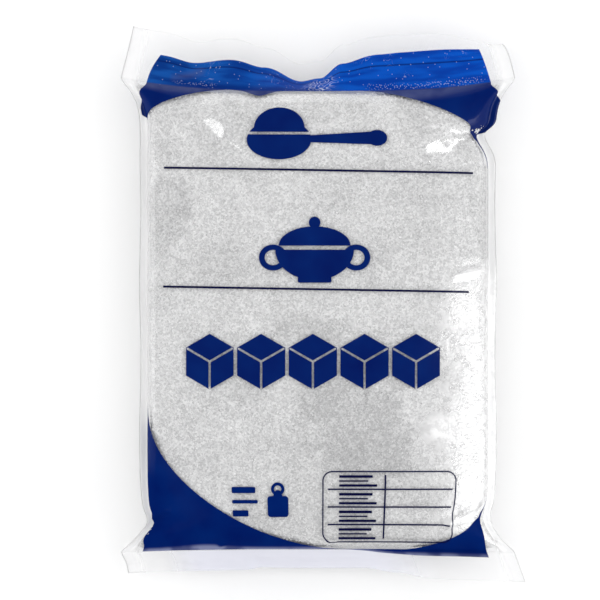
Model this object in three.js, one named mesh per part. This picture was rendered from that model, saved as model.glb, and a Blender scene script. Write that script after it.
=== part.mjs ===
// A one-kilogram packet of white sugar, lying on its back with the printed side up.
// It is a clear film tube, filled tight and welded flat at both ends. The film's width never
// changes, so the packet is narrow where it is fat and flares out to flat ears at the two welds.
// Millimetres, +Z up, +Y towards the top weld, origin on the floor under the middle of the box.
import * as THREE from "three";

// Driving sizes of the film tube and of the filled body
const FILM_WIDTH = 182; // lay-flat width of the tube
const FIN = 3.5; // empty strip of film along each side fold
const BODY_LENGTH = 205; // filled length on the middle line, weld to weld
const FRONT_RISE = 22; // side folds to the crown of the front
const BACK_DROP = 20; // side folds to the lowest point that a free back would have
const FOLD_HEIGHT = 19.5; // side folds above the floor, which presses the back flat
const WELD_HALF = 0.4; // half the thickness of two films lying together, drawn stout

// How square the filled section is: 1 is an ellipse, smaller is boxier, above 2 is a pinched edge
const FRONT_SQUARE = 0.62;
const BACK_SQUARE = 0.55;
const PINCHED = 2.4;

// The two ends.
// blunt: how steeply the sugar stops there
// seam, bow: height of the weld line, and how far its ends stand out beyond its middle
// flap: length of the flat flap beyond the weld
// weldWidth, edgeWidth, sway: what gathering leaves of the film's width at the weld and at the
// free edge, and how far the free edge is pulled to the right
// droop, curl: degrees by which the flap hangs at x, from the weld on and added at its free edge
const TOP = {
  side: 1,
  blunt: 13,
  seam: 24,
  bow: 6,
  flap: 25,
  weldWidth: 0.97,
  edgeWidth: 0.91,
  sway: 0,
  droop: through([-75, 25], [-60, 40], [-42, 26], [-26, 46], [-8, 74], [1, 69], [12, 40], [30, 12], [40, 5]),
  curl: (x) => 85 * ramp(x, 46, 92),
};
const BOTTOM = {
  side: -1,
  blunt: 16,
  seam: 17,
  bow: 1.5,
  flap: 13.5,
  weldWidth: 0.97,
  edgeWidth: 0.98,
  sway: 4,
  droop: through([-38, 54], [-29, 63], [-18, 60], [18, 60], [32, 45], [54, 4]),
  curl: () => 0,
};
const SEAM_BEND = 34; // length over which the tube's middle surface climbs to the weld line
const FLAP_LEVEL = 0.25; // share of its droop that a flap keeps at its free edge

// Soft lumps that the sugar leaves in the front: height, two wavelengths and two shifts
const LUMPS = [
  { height: 0.7, across: 96, along: 150, x: 12, y: -20 },
  { height: 0.45, across: 58, along: 71, x: -9, y: 14 },
  { height: 0.25, across: 37, along: 44, x: 5, y: 31 },
];

// Tucks where the film is gathered at the corners of the filled body: end points, depth and width
const TUCKS = [
  { from: [80, 88], to: [70, 80], depth: 5, width: 4 },
  { from: [-81, 88], to: [-60, 78], depth: 2.5, width: 6 },
  { from: [80, -94], to: [60, -84], depth: 3, width: 5 },
  { from: [-80, -90], to: [-70, -80], depth: 3, width: 5 },
];

// Fineness of the faceted skin
const COLUMNS = 40;
const BODY_STATIONS = 44;
const FLAP_STATION_LENGTH = 3.6;
const ARC_STEPS = 240;
const BEND_STEPS = 24;

const mix = THREE.MathUtils.lerp;
const ramp = THREE.MathUtils.smoothstep;
const bell = (x, middle, width) => Math.exp(-(((x - middle) / width) ** 2));
const wave = (x, start, length) => Math.cos((2 * Math.PI * (x - start)) / length);
const signedPower = (value, power) => Math.sign(value) * Math.abs(value) ** power;

// A curve of x that eases from one listed [x, value] to the next
function through(...knots) {
  return (x) => {
    const next = knots.findIndex(([place]) => place > x);
    if (next < 1) return (next ? knots.at(-1) : knots[0])[1];
    const [[x0, low], [x1, high]] = [knots[next - 1], knots[next]];
    return mix(low, high, ramp(x, x0, x1));
  };
}

// How full the tube is, from 1 in the middle of the body to 0 at a weld line
function fullness(y) {
  const { blunt } = y > 0 ? TOP : BOTTOM;
  return Math.sqrt(Math.max(0, 1 - Math.abs((2 * y) / BODY_LENGTH) ** blunt));
}

// One half of a section, from the left fold to the right one, as points [x, height] over the folds
function halfSection(halfWidth, rise, square, full) {
  const across = mix(1, square, full);
  const upright = mix(PINCHED, square, 1 - (1 - full) ** 1.5);
  const filled = Array.from({ length: ARC_STEPS + 1 }, (_, k) => {
    const angle = Math.PI * (1 - k / ARC_STEPS);
    const height = Math.max(0, Math.sin(angle)) ** upright;
    return [halfWidth * signedPower(Math.cos(angle), across), rise * height + WELD_HALF];
  });
  const fold = halfWidth + FIN;
  return [[-fold, 0], ...filled, [fold, 0]];
}

// Running length along a list of points
function runningLength(points) {
  const run = [0];
  for (let k = 1; k < points.length; k++) {
    const [a, b] = [points[k - 1], points[k]];
    run.push(run[k - 1] + Math.hypot(b[0] - a[0], b[1] - a[1]));
  }
  return run;
}

// The half width at which the front film, laid over its section, is just as long as the film is wide
function halfWidthFor(full) {
  let [narrow, wide] = [0.3 * FILM_WIDTH, 0.5 * FILM_WIDTH];
  for (let step = 0; step < 30; step++) {
    const middle = (narrow + wide) / 2;
    const run = runningLength(halfSection(middle, FRONT_RISE * full, FRONT_SQUARE, full));
    if (run.at(-1) < FILM_WIDTH) narrow = middle;
    else wide = middle;
  }
  return narrow;
}

// The points of a half section at even steps of film, one for each column
function evenColumns(points) {
  const run = runningLength(points);
  let k = 1;
  return Array.from({ length: COLUMNS + 1 }, (_, column) => {
    const wanted = (run.at(-1) * column) / COLUMNS;
    while (k + 1 < points.length && run[k] < wanted) k++;
    const share = (wanted - run[k - 1]) / (run[k] - run[k - 1]);
    return [0, 1].map((axis) => mix(points[k - 1][axis], points[k][axis], share));
  });
}

// Distance from (x, y) to a segment, and the share of the way along it
function toSegment(x, y, [x0, y0], [x1, y1]) {
  const [dx, dy] = [x1 - x0, y1 - y0];
  const along = THREE.MathUtils.clamp(((x - x0) * dx + (y - y0) * dy) / (dx * dx + dy * dy), 0, 1);
  return [Math.hypot(x - x0 - along * dx, y - y0 - along * dy), along];
}

// Lumps and tucks of the front at (x, y)
function frontRelief(x, y) {
  let relief = 0;
  for (const lump of LUMPS) {
    relief += lump.height * wave(x, lump.x, lump.across) * wave(y, lump.y, lump.along);
  }
  for (const tuck of TUCKS) {
    const [distance, along] = toSegment(x, y, tuck.from, tuck.to);
    relief -= tuck.depth * (1 - 0.7 * along) * bell(distance, 0, tuck.width);
  }
  return relief;
}

// How far the weld line at x stands out beyond its middle
const bowAt = (end, x) => end.bow * Math.abs((2 * x) / FILM_WIDTH) ** 3;

// A station of the body: its front and back points, from the left fold to the right one
function bodyStation(y) {
  const end = y > 0 ? TOP : BOTTOM;
  const full = fullness(y);
  const climb = ramp(Math.abs(y), BODY_LENGTH / 2 - SEAM_BEND, BODY_LENGTH / 2);
  const middle = mix(FOLD_HEIGHT, end.seam, climb);
  const halfWidth = halfWidthFor(full);
  const front = evenColumns(halfSection(halfWidth, FRONT_RISE * full, FRONT_SQUARE, full));
  const back = evenColumns(halfSection(halfWidth, BACK_DROP * full, BACK_SQUARE, full));
  const thick = (rise) => ramp(rise, WELD_HALF, FRONT_RISE);
  const place = (x, height) => {
    const across = x * mix(1, end.weldWidth, climb);
    return [across, y + end.side * climb * bowAt(end, x), Math.max(0, height)];
  };
  return {
    front: front.map(([x, rise]) => place(x, middle + rise + thick(rise) * frontRelief(x, y))),
    back: back.map(([x, drop]) => place(x, middle - drop)),
  };
}

// Where a flap's middle surface is at x, a distance beyond the weld: reach, drop and angle
function bentFlap(end, x, distance) {
  const angleAt = (share) => {
    const droop = end.droop(x) * mix(1, FLAP_LEVEL, ramp(share, 0.5, 0.85));
    return THREE.MathUtils.degToRad(droop + end.curl(x) * share);
  };
  const step = distance / BEND_STEPS;
  let [reach, drop] = [0, 0];
  for (let k = 0; k < BEND_STEPS; k++) {
    const angle = angleAt(((k + 0.5) * step) / end.flap);
    reach += step * Math.cos(angle);
    drop += step * Math.sin(angle);
  }
  return { reach, drop, angle: angleAt(distance / end.flap) };
}

// A station of a flap, a distance beyond the weld line
function flapStation(end, distance) {
  const sheet = evenColumns(halfSection(halfWidthFor(0), 0, FRONT_SQUARE, 0));
  const place = (x, offset) => {
    const { reach, drop, angle } = bentFlap(end, x, distance);
    const share = distance / end.flap;
    const along = BODY_LENGTH / 2 + bowAt(end, x) + reach + offset * Math.sin(angle);
    const across = x * mix(end.weldWidth, end.edgeWidth, share) + end.sway * share;
    return [across, end.side * along, end.seam - drop + offset * Math.cos(angle)];
  };
  return {
    front: sheet.map(([x, half]) => place(x, half)),
    back: sheet.map(([x, half]) => place(x, -half)),
  };
}

// All stations, from the bottom flap's free edge to the top flap's
function allStations() {
  const steps = (end) => Math.ceil(end.flap / FLAP_STATION_LENGTH);
  const flap = (end) =>
    Array.from({ length: steps(end) }, (_, k) => flapStation(end, (end.flap * (k + 1)) / steps(end)));
  const body = Array.from({ length: BODY_STATIONS + 1 }, (_, k) =>
    bodyStation((BODY_LENGTH / 2) * Math.sin(Math.PI * (k / BODY_STATIONS - 0.5))),
  );
  return [...flap(BOTTOM).reverse(), ...body, ...flap(TOP)];
}

// One closed skin round the stations. Front and back share the fold points at both sides.
function closedSkin(stations) {
  const positions = [];
  const index = [];
  const ring = 2 * COLUMNS;
  for (const { front, back } of stations) {
    const around = [...front, ...back.slice(1, COLUMNS).reverse()];
    for (const point of around) positions.push(...point);
  }
  for (let row = 0; row + 1 < stations.length; row++) {
    for (let k = 0; k < ring; k++) {
      const [a, b] = [row * ring + k, row * ring + ((k + 1) % ring)];
      index.push(a, b, a + ring, b, b + ring, a + ring);
    }
  }
  const closeEnd = (first, flip) => {
    const facet = (a, b, c) => index.push(...(flip ? [a, c, b] : [a, b, c]));
    facet(first, first + 1, first + ring - 1);
    for (let k = 1; k + 1 < COLUMNS; k++) {
      facet(first + k, first + k + 1, first + ring - k - 1);
      facet(first + k, first + ring - k - 1, first + ring - k);
    }
    facet(first + COLUMNS - 1, first + COLUMNS, first + COLUMNS + 1);
  };
  closeEnd(0, true);
  closeEnd((stations.length - 1) * ring, false);
  const geometry = new THREE.BufferGeometry();
  geometry.setAttribute("position", new THREE.Float32BufferAttribute(positions, 3));
  geometry.setIndex(index);
  return geometry;
}

// Puts the origin on the floor, under the middle of the geometry's box
function standOnOrigin(geometry) {
  geometry.computeBoundingBox();
  const { min, max } = geometry.boundingBox;
  geometry.translate(-(min.x + max.x) / 2, -(min.y + max.y) / 2, -min.z);
  return geometry;
}

function filledBag() {
  const geometry = standOnOrigin(closedSkin(allStations()));
  geometry.computeVertexNormals();
  const material = new THREE.MeshStandardMaterial({ color: 0xcfcfce, roughness: 0.35, metalness: 0 });
  const mesh = new THREE.Mesh(geometry, material);
  mesh.name = "filled_bag";
  return mesh;
}

const packet = new THREE.Group();
packet.name = "sugar_packet";
packet.add(filledBag());

export default packet;
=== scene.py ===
# %% [markdown]
# # A packet of white sugar
# The real thing is a tube of clear film, filled tight with a kilogram of white sugar, welded flat at
# both ends and printed in two blues. It lies on its back here, printed side up. We rebuild it as three
# pieces: the film, the body of sugar inside it, and the loose crystals that press against the film.

import bpy
import numpy as np
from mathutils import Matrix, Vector


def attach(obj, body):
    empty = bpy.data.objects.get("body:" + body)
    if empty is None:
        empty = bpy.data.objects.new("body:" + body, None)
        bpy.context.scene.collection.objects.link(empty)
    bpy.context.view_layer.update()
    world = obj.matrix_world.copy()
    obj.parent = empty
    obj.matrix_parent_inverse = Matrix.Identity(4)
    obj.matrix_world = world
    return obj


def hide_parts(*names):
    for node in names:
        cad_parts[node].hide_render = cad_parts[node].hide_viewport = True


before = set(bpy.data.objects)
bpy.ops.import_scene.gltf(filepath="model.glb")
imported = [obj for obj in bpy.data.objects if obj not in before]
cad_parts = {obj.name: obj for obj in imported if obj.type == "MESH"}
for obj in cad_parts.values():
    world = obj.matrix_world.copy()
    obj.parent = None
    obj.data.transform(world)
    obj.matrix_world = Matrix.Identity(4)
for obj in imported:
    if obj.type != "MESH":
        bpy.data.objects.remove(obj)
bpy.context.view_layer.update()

# %% [markdown]
# ## The form that film and sugar share
# A film tube keeps its width. Where the sugar makes it fat it has to be narrow, and where the sugar
# ends it flares out to flat ears. So we don't draw the outline: we give the film's width and how full
# the tube is along its length, and let a short search find the half width of every section. All lengths
# in these cells are millimetres, and the pieces are turned into metres when their meshes are made.

# %% Sizes of the tube
FILM_WIDTH = 182.0  # of the tube, laid flat
FIN = 3.5  # the flat edge outside each side fold
BODY_LENGTH = 205.0  # from weld to weld
FRONT_RISE, BACK_DROP = 22.0, 20.0  # over and under the side folds
FOLD_HEIGHT = 19.5  # of the side folds over the floor
FRONT_SQUARE, BACK_SQUARE, PINCHED = 0.62, 0.55, 2.4  # powers of a section: below 1 is squarer
SEAM_BEND = 34.0  # length over which the folds rise or sink to a weld
FLAP_LEVEL = 0.25  # share of its droop that a flap keeps at its edge
FILM_HALF = 0.15  # half the thickness of two films lying together


def ramp(value, low, high):
    share = np.clip((value - low) / (high - low), 0, 1)
    return share * share * (3 - 2 * share)


def bell(value, middle, width):
    return np.exp(-(((value - middle) / width) ** 2))


def wave(value, start, length):
    return np.cos(2 * np.pi * (value - start) / length)


def mix(low, high, share):
    return low + (high - low) * share


print(f"a tube {FILM_WIDTH:.0f} mm wide, and {BODY_LENGTH:.0f} mm long between its welds")

# %% The two ends of the tube
def through(*knots):
    """A curve of x that eases from one listed (x, value) to the next."""

    def curve(x):
        value = 0 * x + knots[0][1]
        for (x0, low), (x1, high) in zip(knots, knots[1:]):
            value = value + (high - low) * ramp(x, x0, x1)
        return value

    return curve


# side is the sign of y, and a higher blunt fills the end more squarely. seam is the height of the weld,
# bow how far its ears reach past its middle, and sway a shift to the right. flap is the flap's length, and
# the two widths are shares of the flat film's. droop and curl are the degrees that the flap leans down, at
# the weld and more towards its edge.
TOP = dict(
    side=1, blunt=13, seam=24.0, bow=6.0, flap=25.0, weld_width=0.97, edge_width=0.91, sway=0.0,
    droop=through((-75, 25), (-60, 40), (-42, 26), (-26, 46), (-8, 74), (1, 69), (12, 40), (30, 12),
                  (40, 5)),
    curl=lambda x: 85 * ramp(x, 46, 92),
)
BOTTOM = dict(
    side=-1, blunt=16, seam=17.0, bow=1.5, flap=13.5, weld_width=0.97, edge_width=0.98, sway=4.0,
    droop=through((-38, 54), (-29, 63), (-18, 60), (18, 60), (32, 45), (54, 4)),
    curl=lambda x: 0 * x,
)


def fullness(y):
    blunt = (TOP if y > 0 else BOTTOM)["blunt"]
    return np.sqrt(max(0.0, 1 - abs(2 * y / BODY_LENGTH) ** blunt))


for y in (0, 60, 90, 100):
    print(f"fullness at {y} mm: {fullness(y):.2f}")

# %% One half of a section
SECTION_POINTS, HALVINGS = 401, 30
NARROWEST, WIDEST = 0.3 * FILM_WIDTH, 0.5 * FILM_WIDTH  # bounds of the search
TURN = np.pi * (1 - np.linspace(0, 1, SECTION_POINTS))


def half_section(half_width, rise, square, full):
    """x and height over the side folds, from the left fold to the right one."""
    across = mix(1, square, full)
    upright = mix(PINCHED, square, 1 - (1 - full) ** 1.5)
    x = half_width * np.sign(np.cos(TURN)) * np.abs(np.cos(TURN)) ** across
    height = rise * np.maximum(0, np.sin(TURN)) ** upright + FILM_HALF
    fold = half_width + FIN
    return np.r_[-fold, x, fold], np.r_[0, height, 0]


def running_length(*axes):
    steps = np.sqrt(sum(np.diff(axis) ** 2 for axis in axes))
    return np.r_[0, np.cumsum(steps)]


def half_width_for(full):
    narrow, wide = NARROWEST, WIDEST
    for _ in range(HALVINGS):
        middle = (narrow + wide) / 2
        section = half_section(middle, FRONT_RISE * full, FRONT_SQUARE, full)
        if running_length(*section)[-1] < FILM_WIDTH:
            narrow = middle
        else:
            wide = middle
    return narrow


print(f"half width when full {half_width_for(1.0):.1f} mm, when flat {half_width_for(0.0):.1f} mm")

# %% [markdown]
# ## Lumps and tucks
# Sugar is loose, so the front of a packet is never quite flat. Three crossed waves stand for the lumps.
# At the four corners the film has more width than the sugar needs, and it is drawn into short tucks.

# %% Relief of the front
LUMPS = [  # height, length across and along, x and y of a crest
    (0.7, 96, 150, 12, -20),
    (0.45, 58, 71, -9, 14),
    (0.25, 37, 44, 5, 31),
]
TUCKS = [  # from, to, depth and width
    ((80, 88), (70, 80), 5, 4),
    ((-81, 88), (-60, 78), 2.5, 6),
    ((80, -94), (60, -84), 3, 5),
    ((-80, -90), (-70, -80), 3, 5),
]
TUCK_FADE = 0.7  # share of its depth that a tuck loses on its way


def to_segment(x, y, start, end):
    """Distance from each point to a segment, and the share of the way along it."""
    run = np.subtract(end, start)
    along = np.clip(((x - start[0]) * run[0] + (y - start[1]) * run[1]) / (run @ run), 0, 1)
    return np.hypot(x - start[0] - along * run[0], y - start[1] - along * run[1]), along


def front_relief(x, y):
    relief = 0 * x
    for height, across, along, x0, y0 in LUMPS:
        relief = relief + height * wave(x, x0, across) * wave(y, y0, along)
    for start, end, depth, width in TUCKS:
        distance, along = to_segment(x, y, start, end)
        relief = relief - depth * (1 - TUCK_FADE * along) * bell(distance, 0, width)
    return relief


PINCHES = [  # side, y, depth, and width below and above
    (1, 82.0, 5.0, 6.5, 2.8),
    (-1, -89.5, 2.6, 4.5, 4.5),
    (1, -88.0, 1.6, 5.0, 5.0),
]
PINCH_FROM, PINCH_TO = 50, 74  # half widths between which a pinch sets in


def pinched(x, y):
    """Draws a side in where the film is gathered."""
    for side, y0, depth, below, above in PINCHES:
        drawn_in = side * depth * bell(y, y0, below if y < y0 else above)
        x = x - drawn_in * ramp(side * x, PINCH_FROM, PINCH_TO)
    return x


print(len(LUMPS), "waves of lumps,", len(TUCKS), "tucks and", len(PINCHES), "pinches")

# %% [markdown]
# ## Stations
# A station carries one flat section to its place on the packet. On the body the side folds rise or sink
# towards the weld. On a flap the two films lie together and lean down, so the station adds up short
# parts of the way, each at its own angle, and the film keeps its length.

# %% Stations of the body and of the flaps
FLAP_PARTS, BOW_POWER = 24, 3
LEVELS_FROM, LEVELS_TO = 0.5, 0.85  # shares of a flap's length between which it levels out


def bow_at(end, x):
    return end["bow"] * np.abs(2 * x / FILM_WIDTH) ** BOW_POWER


def body_station(y, section, front):
    """Carries the points of a half section to their place at y."""
    end = TOP if y > 0 else BOTTOM
    climb = ramp(abs(y), BODY_LENGTH / 2 - SEAM_BEND, BODY_LENGTH / 2)
    middle = mix(FOLD_HEIGHT, end["seam"], climb)
    x, height = section
    if front:
        z = middle + height + ramp(height, FILM_HALF, FRONT_RISE) * front_relief(x, y)
    else:
        z = np.maximum(0, middle - height)
    along = y + end["side"] * climb * bow_at(end, x)
    return np.stack([pinched(x, y) * mix(1, end["weld_width"], climb), along, z], -1)


def flap_station(end, distance, section, front):
    x, half = section
    offset = half if front else -half

    def angle(share):
        level = mix(1, FLAP_LEVEL, ramp(share, LEVELS_FROM, LEVELS_TO))
        return np.radians(end["droop"](x) * level + end["curl"](x) * share)

    shares = (np.arange(FLAP_PARTS) + 0.5) / FLAP_PARTS * distance / end["flap"]
    reach = sum(np.cos(angle(s)) for s in shares) * distance / FLAP_PARTS
    drop = sum(np.sin(angle(s)) for s in shares) * distance / FLAP_PARTS
    share = distance / end["flap"]
    along = BODY_LENGTH / 2 + bow_at(end, x) + reach + offset * np.sin(angle(share))
    across = x * mix(end["weld_width"], end["edge_width"], share) + end["sway"] * share
    height = end["seam"] - drop + offset * np.cos(angle(share))
    return np.stack([across, end["side"] * along, height], -1)


def even_steps(section, count):
    run = running_length(*section)
    wanted = np.linspace(0, run[-1], count + 1)
    return np.interp(wanted, run, section[0]), np.interp(wanted, run, section[1])


print("flaps of", BOTTOM["flap"], "and", TOP["flap"], "mm, worked out in", FLAP_PARTS, "parts")

# %% [markdown]
# ## The film as a grid
# Two grids, front and back, share the fold lines at the sides. Their columns lie at even steps of film,
# so a column number is a place on the film before it was ever filled. We keep that place as the UV map,
# in millimetres: u across from the middle line and v along. The print will follow the film by itself.

# %% Film grids
COLUMNS, BODY_ROWS, FLAP_STEP = 192, 236, 1.0
BACK_EVERY = 3  # the back has one column for this many of the front
EVEN_SHARE = 0.4  # of the spacing of rows: the rest draws them towards the welds


def body_rows(count, ends):
    """Places along the body, closer together near the welds."""
    even = np.linspace(-1, 1, count + 1)
    return ends * (EVEN_SHARE * even + (1 - EVEN_SHARE) * np.sin(np.pi * even / 2))


def film_grids():
    front, back, v = [], [], []
    flat = half_section(half_width_for(0.0), 0.0, FRONT_SQUARE, 0.0)

    def add(v_here, place_front, place_back):
        v.append(v_here)
        front.append(place_front)
        back.append(place_back)

    def add_flap(end, distances):
        sheet = even_steps(flat, COLUMNS)
        for past_weld in distances:
            upper = flap_station(end, past_weld, sheet, True)
            lower = flap_station(end, past_weld, sheet, False)
            add(end["side"] * (BODY_LENGTH / 2 + past_weld), upper, lower)

    def steps(end):
        return np.linspace(0, end["flap"], round(end["flap"] / FLAP_STEP) + 1)[1:]

    add_flap(BOTTOM, steps(BOTTOM)[::-1])
    for y in body_rows(BODY_ROWS, BODY_LENGTH / 2):
        full = fullness(y)
        wide = half_width_for(full)
        upper = even_steps(half_section(wide, FRONT_RISE * full, FRONT_SQUARE, full), COLUMNS)
        lower = even_steps(half_section(wide, BACK_DROP * full, BACK_SQUARE, full), COLUMNS)
        add(y, body_station(y, upper, True), body_station(y, lower, False))
    add_flap(TOP, steps(TOP))
    return np.array(front), np.array(back), np.array(v)


film_front, film_back, film_v = film_grids()
film_u = FILM_WIDTH * (np.linspace(0, 1, COLUMNS + 1) - 0.5)
both = np.concatenate([film_front.reshape(-1, 3), film_back.reshape(-1, 3)])
to_frame = np.r_[-(both.min(0) + both.max(0))[:2] / 2, -both[:, 2].min()]
print("film rows and columns:", film_front.shape[:2], "shift to the frame's origin:", to_frame.round(2))

# %% [markdown]
# ## Wrinkles
# Film is stiff along its surface and limp across it, so slack shows as narrow ridges. Each ridge here is a
# line on the film with a height and a width. On the right shoulder the film has crept into many small
# facets: a sum of creased waves in several directions gives those. We push the film out along its own
# normal, and where two films lie together both move, so that they never cross.

# %% Ridges and crumpling, in film places
RIDGES = [  # from, to, rise and half width
    ((-48.2, 92.4), (-41.7, 86.4), 2.4, 6.0),
    ((-38.5, 80), (-31, 75.5), 0.7, 1.7),
    ((-67.5, 81.5), (-62.5, 77), 0.5, 1.3),
    ((48.5, 79.2), (58.5, 81.0), 2.1, 5.3),
    ((57.5, 79.8), (75, 81.6), 1.05, 2.6),
    ((46.5, 84.9), (54.5, 86.2), 0.95, 2.0),
    ((43, 74), (49, 71), 0.6, 1.5),
    ((61, 20), (74, 22.5), 0.7, 2.2),
    ((60, -90), (73, -83), 1.3, 3.0),
    ((60, -91), (76, -87), 0.8, 1.8),
    ((-39, -92), (-36, -91.5), 0.5, 1.2),
    ((-45, -100), (-38, -97), 0.9, 1.8),
    ((3, -99), (8, -98), 0.6, 1.5),
    ((-83, -88), (-70, -84), 1.2, 2.4),
]
RIDGE_FADE = 0.12  # share of its rise that a ridge loses on its way
SHOULDER_CRUMPLE, CORNER_CRUMPLE, BROAD_CRUMPLE, FLAP_CRUMPLE = 0.10, 0.10, 0.08, 0.25
DEEPEST = -0.2  # so that no wrinkle reaches into the sugar


def creased(values):
    """A wave with sharp crests."""
    return 1 - 2 * np.abs(np.sin(values))


def crumple(u, v, size, seed, layers=7):
    pick = np.random.default_rng(seed)
    total = 0 * u
    for _ in range(layers):
        turn, phase = pick.uniform(0, np.pi), pick.uniform(0, np.pi)
        length = size * pick.uniform(0.7, 1.8)
        bend = 0.6 * np.sin(2 * np.pi * (u * np.sin(turn) - v * np.cos(turn)) / (2.3 * size) + 5 * phase)
        total = total + creased(np.pi * (u * np.cos(turn) + v * np.sin(turn)) / length + phase + bend)
    return total / layers


def wrinkles(u, v):
    """Height of the film over its plain form."""
    height = 0 * u
    for start, end, rise, width in RIDGES:
        distance, along = to_segment(u, v, start, end)
        height = height + rise * np.clip(1 - distance / width, 0, 1) * (1 - RIDGE_FADE * along)
    shoulder = ramp(u, 54, 70) * (1 - ramp(v, 2, 16)) * ramp(v, -96, -84)
    corners = ramp(np.abs(u), 50, 78) * ramp(np.abs(v), 78, 92) * (1 - ramp(np.abs(v), 103, 106))
    height = height + SHOULDER_CRUMPLE * shoulder * (0.6 + crumple(u, v, 10.0, 3))
    height = height + CORNER_CRUMPLE * corners * (0.5 + crumple(u, v, 12.0, 8))
    height = height + BROAD_CRUMPLE * crumple(u, v, 42.0, 21)
    flaps = ramp(np.abs(v), BODY_LENGTH / 2, BODY_LENGTH / 2 + 3)
    return np.maximum(height, DEEPEST) + FLAP_CRUMPLE * flaps * crumple(u, 0.25 * v, 17.0, 5)


print(len(RIDGES), "ridges")

# %% Push the film out
def grid_normals(grid):
    normal = np.cross(np.gradient(grid, axis=1), np.gradient(grid, axis=0))
    return normal / np.maximum(1e-9, np.linalg.norm(normal, axis=-1, keepdims=True))


FOLD = FILM_WIDTH / 2
TOUCHING, APART = 0.6, 5.0  # gaps between the two films
U, V = np.meshgrid(film_u, film_v)
hem = 1 - ramp(np.abs(U), FOLD - 5, FOLD)  # the folds themselves stay where they are
push = grid_normals(film_front) * (hem * wrinkles(U, V))[..., None]
fin = ramp(np.abs(U), FOLD - 7, FOLD) * (1 - ramp(np.abs(V), 84, 100))  # the fins wave a little
push[..., 2] += fin * (0.5 * np.sin(V / 9.3 + U / 8) + 0.2 * np.sin(V / 3.4))
push[..., 0] += fin * np.sign(U) * 0.3 * np.sin(V / 11.0)
gap = np.linalg.norm(film_front - film_back, axis=-1)
together = (1 - ramp(gap, TOUCHING, APART))[..., None]
film_front = film_front + push
film_back = film_back + push * together
film_back[..., 2] = np.maximum(film_back[..., 2], 0.0)
print(f"wrinkles from {wrinkles(U, V).min():.2f} to {wrinkles(U, V).max():.2f} mm")

# %% [markdown]
# ## From grids to one closed mesh
# Film and sugar are both a front grid and a back grid that meet at the sides. One helper joins them, with
# a coarser back, because nobody looks at it closely, and a strip of small faces closes each end. The back
# of the film has the places of the front, moved far to the right, so that a finish can tell them apart.

# %% A closed skin round two grids
BACK = 1000.0  # added to u on the back


def closed_skin(name, front, back, every, places=None):
    """Joins two grids, rows by columns of points. Of the back, one column in every so many is used."""
    rows, columns = front.shape[0], front.shape[1] - 1
    parts = columns // every
    inner = back[:, every:-1:every]
    per_row = columns + 1 + inner.shape[1]
    points = np.concatenate([front, inner], axis=1).reshape(-1, 3)

    def front_point(row, column):
        return row * per_row + column

    def back_point(row, part):
        if part == 0:
            return front_point(row, 0)
        if part == parts:
            return front_point(row, columns)
        return row * per_row + columns + part

    faces = []
    for row in range(rows - 1):
        for column in range(columns):
            low = front_point(row, column), front_point(row, column + 1)
            high = front_point(row + 1, column + 1), front_point(row + 1, column)
            faces.append(low + high)
    front_faces = len(faces)
    for row in range(rows - 1):
        for part in range(parts):
            left = back_point(row, part), back_point(row + 1, part)
            right = back_point(row + 1, part + 1), back_point(row, part + 1)
            faces.append(left + right)
    for part in range(parts):
        for row, turned in ((0, True), (rows - 1, False)):
            ring = [front_point(row, column) for column in range(part * every, (part + 1) * every + 1)]
            ring += [i for i in (back_point(row, part + 1), back_point(row, part)) if i not in ring]
            faces.append(tuple(reversed(ring)) if turned else tuple(ring))
    mesh = bpy.data.meshes.new(name)
    mesh.from_pydata(((points + to_frame) / 1000).tolist(), [], faces)
    mesh.polygons.foreach_set("use_smooth", np.ones(len(faces), bool))
    if places is not None:
        flat = np.concatenate([places, places[:, every:-1:every]], axis=1)
        corner_vertex = np.zeros(len(mesh.loops), int)
        mesh.loops.foreach_get("vertex_index", corner_vertex)
        uv = flat.reshape(-1, 2)[corner_vertex]
        uv[4 * front_faces :, 0] += BACK
        mesh.uv_layers.new(name="film_place").data.foreach_set("uv", uv.astype(np.float32).ravel())
    piece = bpy.data.objects.new(name, mesh)
    bpy.context.scene.collection.objects.link(piece)
    return piece


film = closed_skin("film", film_front, film_back, BACK_EVERY, np.stack([U, V], -1))
print("film faces:", len(film.data.polygons), "points:", len(film.data.vertices))

# %% [markdown]
# ## The sugar inside
# The sugar has the film's form, a little smaller all round. It doesn't reach into the thin ears, so each
# section stops where the two films come close. Its surface is rough: a random sum of short waves stands
# for the heap, and separate crystals are scattered over it afterwards.

# %% Sugar body
SUGAR_INSET, SUGAR_END = 1.2, 0.35  # all round, and before each weld
THIN = 1.8  # where the films are closer than this there is no sugar
HALF_BODY = np.array([76.0, 102.0, 21.0])  # half its width, length and thickness
SUGAR_COLUMNS, SUGAR_ROWS, FINE_STEPS = 159, 200, 1600
GRAIN_HEIGHT, GRAIN = 0.09, dict(shortest=2.2, longest=4.5, seed=4)
SWELL_HEIGHT, SWELL = 0.12, dict(shortest=14.0, longest=40.0, seed=9)


def sugar_sections(y):
    full = fullness(y)
    wide = half_width_for(full)
    upper = half_section(wide, FRONT_RISE * full, FRONT_SQUARE, full)
    lower = half_section(wide, BACK_DROP * full, BACK_SQUARE, full)
    x = np.linspace(-wide, wide, FINE_STEPS + 1)
    top, bottom = np.interp(x, *upper), np.interp(x, *lower)
    filled = np.flatnonzero(top + bottom > THIN)
    keep = slice(filled[0], filled[-1] + 1)
    return (x[keep], top[keep]), (x[keep], bottom[keep])


def sugar_grids():
    front, back = [], []
    for y in body_rows(SUGAR_ROWS, BODY_LENGTH / 2 - SUGAR_END):
        upper, lower = sugar_sections(y)
        front.append(body_station(y, even_steps(upper, SUGAR_COLUMNS), True))
        back.append(body_station(y, even_steps(lower, SUGAR_COLUMNS), False))
    front, back = np.array(front), np.array(back)
    middle = np.array([0, 0, FOLD_HEIGHT])
    shrink = 1 - SUGAR_INSET / HALF_BODY
    return middle + (front - middle) * shrink, middle + (back - middle) * shrink


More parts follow.
